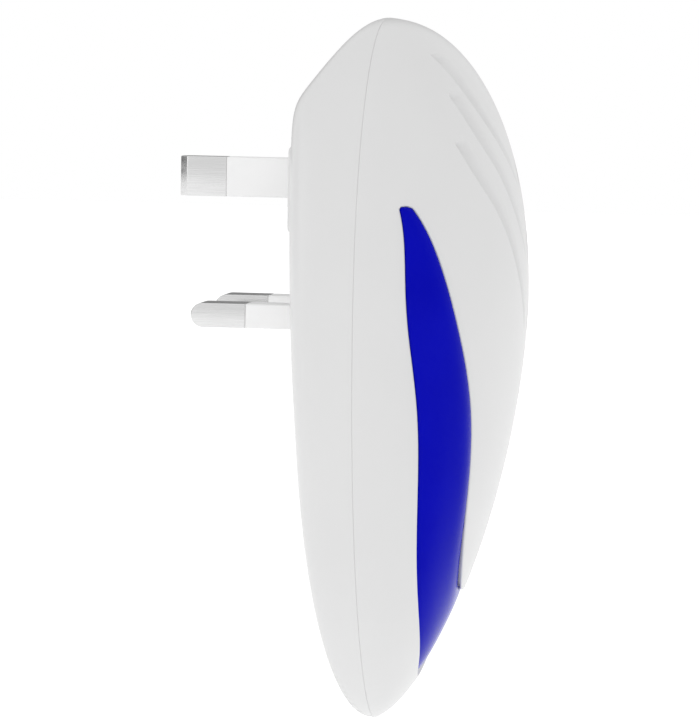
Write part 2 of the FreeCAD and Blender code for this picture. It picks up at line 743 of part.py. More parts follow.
def make_transformer_core():
    """A ferrite core, seen as two legs above and below the coil."""
    legs = [
        block("core_leg_%d" % n, "core_wide", "core_leg_tall", "coil_x", "coil_z + (%s)" % side,
              FACE, FACE + " + core_high")
        for n, side in enumerate(("-core_leg_z", "core_leg_z"), start=1)
    ]
    keep(fuse("core_legs", legs), "transformer_core")


# ---- transducer ------------------------------------------------------------------------------


def make_transducer():
    """The sound chamber's ring against the front cover, and the piezo disc glued to its back."""
    ring = start_body("chamber_ring_body")
    view = sketch_on(ring, "ring_view", "XZ_Plane")
    add_circle(view, "ring_wide")
    add_circle(view, "ring_bore")
    pad(ring, view, "ring_thick * 2")
    place(ring, "0", "ring_depth", "piezo_level")
    keep(common("ring_fitted", ring, cavity_form), "chamber_ring")
    keep(cylinder("piezo_disc_bar", "piezo_disc_wide", "0", "piezo_level",
                  "ring_depth - piezo_disc_thick", "ring_depth"), "piezo_disc")
    keep(cylinder("ceramic_bar", "ceramic_wide", "0", "piezo_level",
                  "ring_depth - piezo_disc_thick - ceramic_thick", "ring_depth - piezo_disc_thick"),
         "piezo_ceramic")


# ---- screws ----------------------------------------------------------------------------------


def make_screws(label, wide, head_wide, long, spots, seat, from_behind):
    """Pan-head screws with a cross slot, as one group of like solids."""
    behind, ahead = seat + " - screw_head_thick", seat + " + screw_head_thick"
    head_run = (behind, seat) if from_behind else (seat, ahead)
    shank_run = (seat, seat + " + " + long) if from_behind else (seat + " - " + long, seat)
    face = behind if from_behind else ahead
    slot_run = (face + " - slot_deep", face + " + slot_deep")
    copies = []
    for n, (x, z) in enumerate(spots, start=1):
        head = cylinder("%s_head_%d" % (label, n), head_wide, x, z, *head_run)
        shank = cylinder("%s_shank_%d" % (label, n), wide, x, z, *shank_run)
        arms = (("slot_long", "slot_wide"), ("slot_wide", "slot_long"))
        slots = [block("%s_slot_%d_%d" % (label, n, turn), across, along, x, z, *slot_run)
                 for turn, (across, along) in enumerate(arms)]
        solid = fuse("%s_solid_%d" % (label, n), [head, shank])
        copies.append(cut("%s_%d" % (label, n), solid, fuse("%s_cross_%d" % (label, n), slots)))
    keep(fuse(label + "_group", copies), label)


# ---- wires -----------------------------------------------------------------------------------

WIRE = 0.7


def wire_shape(spots, bend):
    """A round wire through spots, its corners rounded by arcs of one radius."""
    points = [Vector(x, -depth, z) for x, depth, z in spots]
    edges = []
    start = points[0]
    for before, corner, after in zip(points, points[1:], points[2:]):
        into, out = (corner - before).normalize(), (after - corner).normalize()
        turn = into.getAngle(out)
        cutback = bend * math.tan(turn / 2)
        first, last = corner - into * cutback, corner + out * cutback
        middle = corner + (out - into).normalize() * (bend / math.cos(turn / 2) - bend)
        edges += [Part.LineSegment(start, first).toShape(), Part.Arc(first, middle, last).toShape()]
        start = last
    edges.append(Part.LineSegment(start, points[-1]).toShape())
    path = Part.Wire(edges)
    ring = Part.Wire([Part.Circle(points[0], points[1] - points[0], WIRE).toShape()])
    return path.makePipeShell([ring], True, False)


def make_wires():
    """The leads from the pins' tabs to the board's back, and from the board's front to the piezo."""
    root, back, face = value("pin_root + tab_thick"), dim("board_depth"), value(FACE)
    offset = dim("pin_offset")
    disc = dim("ring_depth") - dim("piezo_disc_thick")
    ceramic = disc - dim("ceramic_thick")
    for name, x in (("live", offset), ("neutral", -offset)):
        route = [(x, root, 0), (x, 12.3, 0), (x, 12.3, -9.2), (x, back, -9.2)]
        keep(shaped(name + "_wire_run", wire_shape(route, 1.2)), name + "_wire")
    route = [(-10.6, face, 20.8), (-10.6, 19.4, 20.8), (-11.6, 21.6, 17.4), (-11.6, disc, 17.4)]
    keep(shaped("piezo_wire_run", wire_shape(route, 1.4)), "piezo_wire")
    route = [(6.6, face, 27.4), (6.6, 19.2, 27.4), (2.6, 21.4, 17.0), (2.6, ceramic, 17.0)]
    keep(shaped("ceramic_wire_run", wire_shape(route, 1.2)), "ceramic_wire")


make_front_cover()
make_rear_cover()
make_plug()
make_pin_retainer()
make_light()
make_board()
make_components()
make_transformer_core()
make_transducer()
make_screws("case_screws", "screw_wide", "screw_head_wide", "screw_long",
            CASE_SCREWS, "screw_seat", from_behind=True)
make_screws("board_screws", "board_screw_wide", "board_head_wide", "board_screw_long",
            BOARD_POSTS, FACE, from_behind=False)
make_wires()

# ---- checks and files ------------------------------------------------------------------------

doc.recompute()
failed = [item.Name for item in doc.Objects if {"Invalid", "Error"} & set(item.State)]
if failed:
    raise RuntimeError("these objects did not compute: %s" % ", ".join(failed))
for piece in SUBPARTS:
    if piece.Shape.isNull() or not piece.Shape.isValid():
        raise RuntimeError("%s has no valid shape" % piece.Label)
os.makedirs("parts", exist_ok=True)
for piece in SUBPARTS:
    piece.Shape.exportStep(os.path.join("parts", piece.Label + ".step"))
    facts = (piece.Label, len(piece.Shape.Solids), piece.Shape.Volume)
    print("%-22s %2d solid(s) %9.1f mm3" % facts)
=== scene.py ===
"""Looks of the plug-in ultrasonic pest repeller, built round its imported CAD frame.

Sizes in this script are in millimetres until a mesh is made, which is in metres.
x is across, -y is towards the room, +y is into the wall socket, z is up.
"""

import json
import math

import bmesh
import bpy
import numpy as np
from mathutils import Matrix, Vector
from mathutils.geometry import delaunay_2d_cdt
from mathutils.kdtree import KDTree

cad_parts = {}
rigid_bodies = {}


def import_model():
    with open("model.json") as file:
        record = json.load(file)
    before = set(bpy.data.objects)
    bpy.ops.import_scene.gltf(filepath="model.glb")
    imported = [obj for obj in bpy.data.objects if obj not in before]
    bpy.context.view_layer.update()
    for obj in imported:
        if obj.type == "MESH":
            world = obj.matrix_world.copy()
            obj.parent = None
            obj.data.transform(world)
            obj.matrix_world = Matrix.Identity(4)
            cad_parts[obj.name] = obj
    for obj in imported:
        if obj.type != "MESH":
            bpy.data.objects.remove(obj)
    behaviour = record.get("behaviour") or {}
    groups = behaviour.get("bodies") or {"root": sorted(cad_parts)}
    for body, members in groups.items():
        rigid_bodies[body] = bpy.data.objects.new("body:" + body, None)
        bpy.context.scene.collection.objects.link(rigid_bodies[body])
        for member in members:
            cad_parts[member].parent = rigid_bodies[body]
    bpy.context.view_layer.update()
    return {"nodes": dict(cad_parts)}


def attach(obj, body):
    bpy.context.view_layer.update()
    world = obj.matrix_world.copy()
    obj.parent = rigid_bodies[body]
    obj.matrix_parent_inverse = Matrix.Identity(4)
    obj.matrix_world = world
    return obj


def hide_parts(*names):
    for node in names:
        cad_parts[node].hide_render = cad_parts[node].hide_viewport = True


for thing in list(bpy.data.objects):
    bpy.data.objects.remove(thing)
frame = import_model()

MM = 0.001

# ---- the case's form, as in the CAD ------------------------------------------------------------

HALF_WIDTH, TOP, BOTTOM, WIDEST, APEX = 34.0, 49.0, -67.6, 2.0, 3.0
PARTING, FRONT_DEPTH, BACK_DEPTH = 13.0, 24.2, 10.85
LEAN, LEAN_LEVEL, SHOULDER, SLOPE, SHOULDER_DROP = 0.0365, -17.0, 35.4, 0.70, 0.5
WALL = 2.0
WIDTH_FADE = ((2.2, 0.476), (2.0, 0.60))
FRONT_FADE = ((2.1, 0.476), (1.7, 0.67))
BACK_FADE = ((30.0, 0.5), (2.2, 0.48))
FRONT_SECTION, BACK_SECTION = (2.0, 2.1), (7.0, 7.0)
LEVELS, SPANS, TIP = 16, 18, 0.2

# The arms' ends are a little narrower here than in the CAD. The points are (x, z) on the right,
# from the top to the middle line.
LENS_OUTER = [(30.75, 18.8), (31.9, 5.0), (29.5, -14.0), (21.3, -40.0), (8.8, -55.6), (0, -60.2)]
LENS_INNER = [(29.75, 18.8), (26.6, 3.0), (20.4, -15.2), (14.4, -32.0), (7.2, -42.0), (0, -45.6)]
GROOVES = [
    [(12.6, 43.2), (12.2, 36.5), (9.0, 30.6), (4.6, 25.6), (1.2, 21.8)],
    [(16.6, 37.0), (15.4, 30.6), (11.8, 24.8), (7.4, 18.4), (1.4, 10.2)],
    [(20.8, 29.2), (19.2, 24.4), (15.6, 19.2), (11.0, 12.6), (1.6, -2.2)],
]
# A groove's greatest width beyond that of its end, its end's width, its depth and its start's length.
GROOVE_WIDE, GROOVE_END, GROOVE_DEEP, GROOVE_START = 2.2, 0.7, 1.15, 0.8
# Across a groove: the share of its width from its lower edge, and the share of its depth there.
# The first part is a step in millimetres outside the edge.
GROOVE_PROFILE = (
    (-0.12, 0.0), (0.0, 0.85), (0.1, 1.0), (0.3, 0.86), (0.5, 0.66), (0.7, 0.4), (0.85, 0.17), (1.0, 0.0)
)
GROOVE_SPACING = 0.4

# The lens: its gap all round, its edge's radius and how far in its cushion still rises.
LENS_GAP, LENS_ROUND, LENS_REACH = 0.05, 0.3, 4.5
CUSHION_HIGH, CUSHION_LOW, CUSHION_SINK = 0.9, 0.3, 0.75
SINK_LEVEL, SINK_LENGTH = -22, 26

CASE_SCREWS = [(24, 14), (-24, 14), (0, -38)]
BOARD_POSTS = [(x, z) for x in (16, -16) for z in (28.5, -28.5)]
SCREW_WELL = 2.7

# The plug: each size as in the CAD.
PIN_OFFSET, EARTH_HEIGHT = 11.11, 22.23
LINE_WIDTH, LINE_THICK, LINE_REACH, LINE_BARE = 6.35, 3.97, 16.7, 9.1
EARTH_WIDTH, EARTH_TALL, EARTH_REACH, EARTH_BARE = 3.97, 6.6, 21.2, 7.9
SLEEVE_WALL, SLEEVE_ROOT, PIN_ROOT = 0.4, 4.4, 9.0
PAD_LEVEL, PAD_WIDTH, PAD_TALL, PAD_CORNER = 21, 42, 15, 1.6
# How far the sunken edge of the pad runs in from its outline, and the y that it has there.
PAD_EDGE = ((0.1, -0.78), (0.35, -0.5), (0.75, -0.12), (0.95, -0.02), (1.15, 0.0))

# The turns at which the lines of a rounded edge lie, in degrees.
EDGE_TURNS = (0, 22.5, 45, 67.5, 90)


def fade(level, widest, top, bottom, powers):
    """How much of its full size a profile has at a level: 1 at its widest level, 0 at the tips."""
    upper = level > widest
    reach = top - widest if upper else bottom - widest
    power, root = powers[0] if upper else powers[1]
    return (1 - min((level - widest) / reach, 1.0) ** power) ** root


def level_sizes(level, inset):
    """Half-width, front depth and back depth of the case at a level, inset from its surface."""
    top, bottom = TOP - inset, BOTTOM + inset
    width = (HALF_WIDTH - inset) * fade(level, WIDEST, top, bottom, WIDTH_FADE)
    front = (FRONT_DEPTH - inset) * fade(level, APEX, top, bottom, FRONT_FADE)
    lean = LEAN * max(level - LEAN_LEVEL, 0)
    slope = SLOPE * (level + inset / 2 - SHOULDER)
    at_shoulder = LEAN * (SHOULDER - LEAN_LEVEL) - SHOULDER_DROP
    back = BACK_DEPTH - inset + min(lean, at_shoulder - slope)
    return width, front, back * fade(level, WIDEST, top, bottom, BACK_FADE)


def spline_table(poles, steps):
    """Weights of a clamped cubic B-spline's poles, and their slopes, at even steps along it."""
    last = poles - 3
    knots = np.concatenate(([0] * 3, np.arange(last + 1), [last] * 3)).astype(float)
    at = np.linspace(0, last, steps)
    inside = np.minimum(at, last - 1e-9)
    weights = [
        ((knots[i] <= inside) & (inside < knots[i + 1])).astype(float)
        for i in range(len(knots) - 1)
    ]
    for degree in (1, 2, 3):
        lower, weights = weights, []
        slopes = []
        for i in range(len(lower) - 1):
            left, right = knots[i + degree] - knots[i], knots[i + degree + 1] - knots[i + 1]
            value, slope = np.zeros(steps), np.zeros(steps)
            if left:
                value = value + (at - knots[i]) / left * lower[i]
                slope = slope + degree / left * lower[i]
            if right:
                value = value + (knots[i + degree + 1] - at) / right * lower[i + 1]
                slope = slope - degree / right * lower[i + 1]
            weights.append(value)
            slopes.append(slope)
    return at, np.array(weights).T, np.array(slopes).T


class Patch:
    """The front or back surface of the case. Its point at (u, v) is (W(u) C(v), Y(u) S(v), Z(u))."""

    TYPICAL_DEPTH = 18
    GIRTH = 2.0 * 1.11

    def __init__(self, inset, front):
        top, bottom = TOP - inset, BOTTOM + inset
        across, along = FRONT_SECTION if front else BACK_SECTION
        sizes = []
        for step in range(-LEVELS, LEVELS + 1):
            reach = top - WIDEST if step > 0 else WIDEST - bottom
            turn = math.pi / 2 * step / LEVELS
            inside = math.copysign(min(abs(turn), math.pi / 2 * (1 - TIP / LEVELS)), turn)
            width, forward, backward = level_sizes(WIDEST + reach * math.sin(inside), inset)
            sizes.append((width, -forward if front else backward, WIDEST + reach * math.sin(turn)))
        angles = np.pi * np.arange(SPANS + 1) / SPANS
        aside = np.sign(np.cos(angles)) * np.abs(np.cos(angles)) ** (2 / across)
        out = np.abs(np.sin(angles)) ** (2 / along)
        out[0] = out[-1] = 0
        self.u, level_weights, level_slopes = spline_table(len(sizes), 6001)
        self.v, span_weights, span_slopes = spline_table(SPANS + 1, 4001)
        self.rows, self.row_slopes = level_weights @ np.array(sizes), level_slopes @ np.array(sizes)
        columns = np.stack((aside, out), axis=1)
        self.columns, self.column_slopes = span_weights @ columns, span_slopes @ columns
        self.front = front
        across_run, out_run = self.column_slopes.T
        run = np.hypot(across_run * HALF_WIDTH, out_run * self.TYPICAL_DEPTH)
        self.share = np.concatenate(([0], np.cumsum((run[1:] + run[:-1]) / 2)))
        self.share /= self.share[-1]
        d_width, d_deep, d_level = self.row_slopes.T
        climb = np.sqrt(d_level**2 + np.maximum(d_width**2, d_deep**2))
        steps = (climb[1:] + climb[:-1]) / 2 * (self.u[1] - self.u[0])
        self.climb = np.concatenate(([0], np.cumsum(steps)))

    def row(self, u):
        """Half-width, y from the parting plane and level of the row at u."""
        return [np.interp(u, self.u, self.rows[:, k]) for k in range(3)]

    def point(self, u, v):
        width, deep, level = self.row(u)
        aside, out = (np.interp(v, self.v, self.columns[:, k]) for k in range(2))
        return np.stack((width * aside, deep * out - PARTING, level), axis=-1)

    def normal(self, u, v):
        """The unit normal, away from the case."""
        width, deep, _ = self.row(u)
        d_width, d_deep, d_level = (np.interp(u, self.u, self.row_slopes[:, k]) for k in range(3))
        aside, out = (np.interp(v, self.v, self.columns[:, k]) for k in range(2))
        d_aside, d_out = (np.interp(v, self.v, self.column_slopes[:, k]) for k in range(2))
        up = np.stack((d_width * aside, d_deep * out, d_level), axis=-1)
        over = np.stack((width * d_aside, deep * d_out, np.zeros_like(width)), axis=-1)
        normal = np.cross(over, up)
        if self.front:
            normal = -normal
        return normal / np.maximum(np.linalg.norm(normal, axis=-1, keepdims=True), 1e-12)

    def find(self, x, z):
        """The (u, v) of the surface's point with this x and z."""
        x, z = np.asarray(x, float), np.asarray(z, float)
        u = np.interp(z, self.rows[:, 2], self.u)
        width = np.interp(u, self.u, self.rows[:, 0])
        aside = np.clip(x / np.maximum(width, 1e-9), -1, 1)
        v = np.interp(-aside, -self.columns[:, 0], self.v)
        return u, v

    def flat(self, u, v):
        """Where a point of the surface lies on a flat map that hardly stretches it."""
        width, deep, _ = self.row(u)
        girth = self.GIRTH * np.sqrt(width**2 + deep**2)
        share = np.interp(v, self.v, self.share)
        return np.stack(((share - 0.5) * girth, np.interp(u, self.u, self.climb)), axis=-1)


def spline(spots, spacing):
    """Points at a spacing along the smooth line through spots, by a natural cubic in chord length."""
    spots = np.array(spots, float)
    chord = np.concatenate(([0], np.cumsum(np.linalg.norm(np.diff(spots, axis=0), axis=1))))
    n = len(spots)
    gap = np.diff(chord)
    system, right = np.zeros((n, n)), np.zeros((n, spots.shape[1]))
    system[0, 0] = system[-1, -1] = 1
    for i in range(1, n - 1):
        system[i, i - 1 : i + 2] = gap[i - 1], 2 * (gap[i - 1] + gap[i]), gap[i]
        right[i] = 6 * ((spots[i + 1] - spots[i]) / gap[i] - (spots[i] - spots[i - 1]) / gap[i - 1])
    bend = np.linalg.solve(system, right)
    at = np.linspace(0, chord[-1], max(2, round(chord[-1] / spacing) + 1))
    k = np.clip(np.searchsorted(chord, at, side="right") - 1, 0, n - 2)
    h = gap[k][:, None]
    a, b = (chord[k + 1] - at)[:, None] / h, (at - chord[k])[:, None] / h
    curve = (a**3 - a) * bend[k] + (b**3 - b) * bend[k + 1]
    return a * spots[k] + b * spots[k + 1] + curve * h**2 / 6


def mirrored(spots):
    """A right-hand line that ends on the middle line, carried on to the left-hand side."""
    return list(spots) + [(-x, z) for x, z in reversed(spots[:-1])]


def even(loop, spacing):
    """A closed line's points, moved to even spacing along it."""
    loop = np.array(loop, float)
    closed = np.vstack((loop, loop[:1]))
    run = np.concatenate(([0], np.cumsum(np.linalg.norm(np.diff(closed, axis=0), axis=1))))
    count = round(run[-1] / spacing)
    at = np.arange(count) * run[-1] / count
    return np.stack([np.interp(at, run, closed[:, k]) for k in range(closed.shape[1])], axis=1)


def lens_outline(spacing):
    """The lens's front view as one closed line, anticlockwise, with round ends to its two arms."""
    outer, inner = spline(mirrored(LENS_OUTER), spacing / 4), spline(mirrored(LENS_INNER), spacing / 4)
    (x0, z0), (x1, _) = LENS_OUTER[0], LENS_INNER[0]
    middle, radius = (x0 + x1) / 2, (x0 - x1) / 2
    turn = np.linspace(0, np.pi, 25)[1:-1]
    right = np.stack((middle - radius * np.cos(turn), z0 + radius * np.sin(turn)), axis=1)
    left = right[::-1] * [-1, 1]
    return np.vstack((outer, left, inner[::-1], right))[::-1]


class Skin:
    """Points on a patch, each sunk below it by some amount, joined into triangles."""

    def __init__(self, patch, spacing):
        self.patch, self.spacing = patch, spacing
        self.uv, self.sink, self.fixed, self.edges = [], [], [], []

    def add(self, u, v, sink=0.0, loop=None, fixed=np.nan):
        """Adds points, whose fixed y, if any, overrides the sink.

        loop is "open" or "closed" when edges must follow the points.
        """
        u, v = np.atleast_1d(u), np.atleast_1d(v)
        first = len(self.uv)
        self.uv += list(zip(u, v))
        self.sink += list(np.broadcast_to(sink, u.shape))
        self.fixed += list(np.broadcast_to(fixed, u.shape))
        numbers = list(range(first, first + len(u)))
        if loop:
            self.edges += list(zip(numbers, numbers[1:]))
            if loop == "closed":
                self.edges.append((numbers[-1], numbers[0]))

    def add_seen(self, spots, sink=0.0, loop=None, fixed=np.nan):
        """Adds points given by their front view."""
        u, v = self.patch.find(spots[:, 0], spots[:, 1])
        self.add(u, v, sink, loop, fixed)

    def offset(self, spots, distance):
        """A closed front-view line moved sideways on the surface, to the right of its direction."""
        u, v = self.patch.find(spots[:, 0], spots[:, 1])
        place, normal = self.patch.point(u, v), self.patch.normal(u, v)
        run = np.roll(place, -1, axis=0) - np.roll(place, 1, axis=0)
        side = np.cross(run, normal)
        side /= np.linalg.norm(side, axis=1, keepdims=True)
        moved = place + side * distance
        return moved[:, [0, 2]]

    def rim(self, radius):
        """The edge at the parting plane, rounded by a radius."""
        patch = self.patch
        climb = np.arange(0, patch.climb[-1] + 1e-6, self.spacing)
        u = np.interp(np.append(climb[:-1], patch.climb[-1]), patch.climb, patch.u)
        deep = np.abs(patch.row(u)[1])
        half = len(patch.v) // 2
        for side in (0, 1):
            for turn in EDGE_TURNS:
                distance = radius * (1 - math.sin(math.radians(turn)))
                share = np.clip(distance / np.maximum(deep, 2 * distance), 0, 1)
                v = np.interp(share, patch.columns[: half + 1, 1], patch.v[: half + 1])
                v = v if side == 0 else patch.v[-1] - v
                self.add(u, v, radius * (1 - math.cos(math.radians(turn))), "open")

    def fill(self, region, raise_by=None, fix=None, keep_off=0.55):
        """Adds an even field of points where region(x, z) says so, away from the lines so far."""
        patch = self.patch
        lines = patch.flat(*np.array(self.uv).T)
        tree = KDTree(len(lines))
        for n, (a, b) in enumerate(lines):
            tree.insert((a, b, 0), n)
        tree.balance()
        step = self.spacing
        for k, climb in enumerate(np.arange(step * 0.5, patch.climb[-1], step * 0.866)):
            u = np.interp(climb, patch.climb, patch.u)
            end = patch.flat(np.array([u]), np.array([patch.v[-1]]))[0, 0]
            count = int(2 * end / step)
            if count < 1:
                continue
            a = (np.arange(count) - (count - 1) / 2 + (0.25 if k % 2 else -0.25)) * step
            a = a[np.abs(a) < end - 0.3 * step]
            share = 0.5 + a / (2 * end)
            v = np.interp(share, patch.share, patch.v)
            spots = patch.point(np.full_like(v, u), v)
            good = region(spots[:, 0], spots[:, 2])
            far = [tree.find((across, climb, 0))[2] > keep_off * step for across in a]
            good = good & np.array(far, bool)
            if good.any():
                chosen = spots[good]
                sink = -raise_by(chosen) if raise_by else 0.0
                fixed = fix(chosen) if fix else np.nan
                self.add(np.full(good.sum(), u), v[good], sink, None, fixed)

    def triangles(self, region):
        """Triangles over all the points, kept where region(x, z) says so at their middles."""
        uv = np.array(self.uv)
        flat = self.patch.flat(uv[:, 0], uv[:, 1])
        out = delaunay_2d_cdt([Vector(p) for p in flat], self.edges, [], 0, 1e-7, True)
        faces, origins = out[2], out[3]
        number = [ids[0] if ids else None for ids in origins]
        missing = [n for n, first in enumerate(number) if first is None]
        if missing:
            raise RuntimeError("%d lines cross on the skin" % len(missing))
        faces = np.array([[number[n] for n in face] for face in faces])
        middle = self.patch.point(uv[faces, 0].mean(1), uv[faces, 1].mean(1))
        return faces[region(middle[:, 0], middle[:, 2])]


def inside(loop, x, z):
    """Whether points are inside a closed line, by counting crossings."""
    count = np.zeros(x.shape, int)
    for (x0, z0), (x1, z1) in zip(loop, np.roll(loop, -1, axis=0)):
        between = (z0 > z) != (z1 > z)
        if z0 != z1:
            count += between & (x < x0 + (z - z0) / (z1 - z0) * (x1 - x0))
    return count % 2 == 1


def made_object(name, build):
    """A linked object of the mesh being built, which this frees."""
    mesh = bpy.data.meshes.new(name)
    build.to_mesh(mesh)
    build.free()
    piece = bpy.data.objects.new(name, mesh)
    bpy.context.scene.collection.objects.link(piece)
    return piece


def closed_mesh(name, outer, inner, faces):
    """A closed mesh: a skin, the same skin further in, and walls between their borders."""
    build = bmesh.new()
    used = np.unique(faces)
    outs = {n: build.verts.new(outer[n] * MM) for n in used}
    ins = {n: build.verts.new(inner[n] * MM) for n in used}
    sides = {}
    for a, b, c in faces:
        build.faces.new((outs[a], outs[b], outs[c]))
        build.faces.new((ins[c], ins[b], ins[a]))
        for edge in ((a, b), (b, c), (c, a)):
            sides[edge] = True
    for a, b in list(sides):
        if (b, a) not in sides:
            build.faces.new((outs[b], outs[a], ins[a], ins[b]))
    bmesh.ops.recalc_face_normals(build, faces=build.faces)
    return made_object(name, build)


def smooth(piece, angle=40):
    """Shades a piece smooth, apart from the edges sharper than an angle."""
    mesh = piece.data
    for polygon in mesh.polygons:
        polygon.use_smooth = True
    build = bmesh.new()
    build.from_mesh(mesh)
    for edge in build.edges:
        edge.smooth = len(edge.link_faces) == 2 and edge.calc_face_angle(0) < math.radians(angle)
    build.to_mesh(mesh)
    build.free()
    return piece


def rounded_hole(skin, outline, radius, fixed=np.nan):
    """The edge of an opening whose outline runs anticlockwise seen from outside, rounded by a radius."""
    for turn in EDGE_TURNS:
        away = radius * (1 - math.sin(math.radians(turn)))
        sink = radius * (1 - math.cos(math.radians(turn)))
        spots = skin.offset(outline, away) if away > 1e-9 else outline
        skin.add_seen(spots, sink, "closed", fixed - sink)


def add_groove(skin, spots, side):
    """One groove: a sharp step on its lower side, from which the floor rises softly to the surface.

    Returns its outline.
    """
    low = spline(spots, GROOVE_SPACING) * [side, 1]
    run = np.gradient(low, axis=0)
    run /= np.linalg.norm(run, axis=1, keepdims=True)
    up = np.stack((run[:, 1], -run[:, 0]), axis=1) * side
    share = np.linspace(0, 1, len(low))
    start = np.clip(share * len(low) * GROOVE_SPACING / GROOVE_START, 0, 1)
    wide = GROOVE_WIDE * (1 - share) ** 0.7 + GROOVE_END
    deep = GROOVE_DEEP * (1 - share**3) ** 0.8 * start
    rows = [low + up * part * (1 if part < 0 else wide[:, None]) for part, depth in GROOVE_PROFILE]
    for row, (part, depth) in zip(rows, GROOVE_PROFILE):
        skin.add_seen(row, deep * depth, "open")
    return np.vstack((rows[0], rows[-1][::-1]))


def ends(skin):
    """The short straight rows at the top and bottom tips."""
    for u in (0.0, skin.patch.u[-1]):
        v = np.interp(np.linspace(0, 1, 7)[1:-1], skin.patch.share, skin.patch.v)
        skin.add(np.full_like(v, u), v)


def skin_points(skin):
    """The skin's (u, v) pairs and its points, sunk below the patch."""
    uv, sink, fixed = np.array(skin.uv), np.array(skin.sink), np.array(skin.fixed)
    place, normal = skin.patch.point(uv[:, 0], uv[:, 1]), skin.patch.normal(uv[:, 0], uv[:, 1])
    place = place - normal * sink[:, None]
    place[:, 1] = np.where(np.isnan(fixed), place[:, 1], fixed)
    return uv, place


def make_front():
    """The rounded front, with its lens opening and its sound grooves."""
    skin = Skin(Patch(0, True), 0.85)
    outline = even(lens_outline(0.4), 0.45)
    rounded_hole(skin, outline, 0.3)
    strips = [add_groove(skin, spots, side) for spots in GROOVES for side in (1, -1)]
    skin.rim(0.10)
    ends(skin)
    skin.fill(lambda x, z: ~np.any([inside(loop, x, z) for loop in [outline] + strips], axis=0))
    faces = skin.triangles(lambda x, z: ~inside(outline, x, z))
    uv, place = skin_points(skin)
    inner = Patch(WALL, True).point(uv[:, 0], uv[:, 1])
    return smooth(closed_mesh("front_shell", place, inner, faces))


def make_lens():
    """The blue wishbone, pillowed between its edges."""
    skin = Skin(Patch(0, True), 0.7)
    outline = even(lens_outline(0.4), 0.45)
    border = skin.patch.point(*skin.patch.find(*even(outline, 0.2).T))
    tree = KDTree(len(border))
    for n, spot in enumerate(border):
        tree.insert(spot, n)
    tree.balance()

    def pillow(distance, level):
        """How far the lens stands proud: a cushion on the arms, which sinks where they meet."""
        low = np.clip((SINK_LEVEL - level) / SINK_LENGTH, 0, 1)
        low = low * low * (3 - 2 * low)
        high = CUSHION_HIGH - (CUSHION_HIGH - CUSHION_LOW) * low
        rise = 1 - (1 - np.clip(distance / LENS_REACH, 0, 1)) ** 2.4
        return high * rise - CUSHION_SINK * low

    for turn in EDGE_TURNS[::-1]:
        away = LENS_ROUND * (1 - math.sin(math.radians(turn)))
        spots = skin.offset(outline, -LENS_GAP - away)
        sink = LENS_ROUND * (1 - math.cos(math.radians(turn))) - pillow(away, spots[:, 1])
        skin.add_seen(spots, sink, "closed")
        if turn == 90:
            edge = skin.patch.point(*np.array(skin.uv).T)[:, [0, 2]]

    def cushion(spots):
        away = np.array([tree.find(spot)[2] for spot in spots]) - LENS_GAP
        return pillow(away, spots[:, 2])

    skin.fill(lambda x, z: inside(edge, x, z), cushion)
    faces = skin.triangles(lambda x, z: inside(edge, x, z))
    uv, place = skin_points(skin)
    inner = Patch(WALL, True).point(uv[:, 0], uv[:, 1])
    return smooth(closed_mesh("lens_wishbone", place, inner, faces))


def rounded_rectangle(x, z, width, tall, radius):
    """The corners of a rounded rectangle as a closed line, clockwise seen from the front."""
    loop = []
    for k, (cx, cz) in enumerate(((1, 1), (1, -1), (-1, -1), (-1, 1))):
        for step in range(7):
            turn = math.radians(90 - 90 * k - 15 * step)
            loop.append((x + cx * (width / 2 - radius) + radius * math.cos(turn),
                         z + cz * (tall / 2 - radius) + radius * math.sin(turn)))
    return np.array(loop)


def circle(x, z, radius, count=48):
    """A circle as a closed line, clockwise seen from the front."""
    turn = -np.arange(count) * 2 * np.pi / count
    return np.stack((x + radius * np.cos(turn), z + radius * np.sin(turn)), axis=1)


def make_rear():
    """The flat back, with its raised pad, its pin holes and its screw wells."""
    skin = Skin(Patch(0, False), 0.9)
    pin_hole_edge, well_edge, seam_edge = 0.15, 0.35, 0.15
    holes = [even(rounded_rectangle(0, EARTH_HEIGHT, 4.2, 6.85, 0.4), 0.35)]
    rounded_hole(skin, holes[0], pin_hole_edge, 0.0)
    for x in (PIN_OFFSET, -PIN_OFFSET):
        holes.append(even(rounded_rectangle(x, 0, 6.6, 4.2, 0.4), 0.35))
        rounded_hole(skin, holes[-1], pin_hole_edge)
    for x, z in CASE_SCREWS:
        holes.append(circle(x, z, SCREW_WELL))
        rounded_hole(skin, holes[-1], well_edge)
    pad = even(rounded_rectangle(0, PAD_LEVEL, PAD_WIDTH, PAD_TALL, PAD_CORNER), 0.5)
    skin.add_seen(pad, 0.0, "closed")
    for inward, level in PAD_EDGE:
        skin.add_seen(skin.offset(pad, -inward), 0.0, "closed", level)
    pad_top = skin.offset(pad, -1.1)
    skin.rim(seam_edge)
    ends(skin)

    def solid(x, z):
        return ~np.any([inside(hole, x, z) for hole in holes], axis=0)

    def level(spots):
        return np.where(inside(pad_top, spots[:, 0], spots[:, 2]), 0.0, np.nan)

    skin.fill(solid, None, level)
    faces = skin.triangles(solid)
    uv, place = skin_points(skin)
    base, within = skin.patch.point(uv[:, 0], uv[:, 1]), Patch(WALL, False)
    inner = within.point(uv[:, 0], uv[:, 1])
    # Over the flat of the back, the inside lies straight in front of the outside.
    near = np.clip((31 - np.abs(base[:, 0])) / 5, 0, 1) * np.clip((base[:, 2] + 52) / 10, 0, 1)
    near = near * np.clip((40 - base[:, 2]) / 8, 0, 1)
    blend = inner + (base - inner) * near[:, None]
    inner = within.point(*within.find(blend[:, 0], blend[:, 2]))
    piece = closed_mesh("rear_shell", place, inner, faces)
    return smooth(piece)


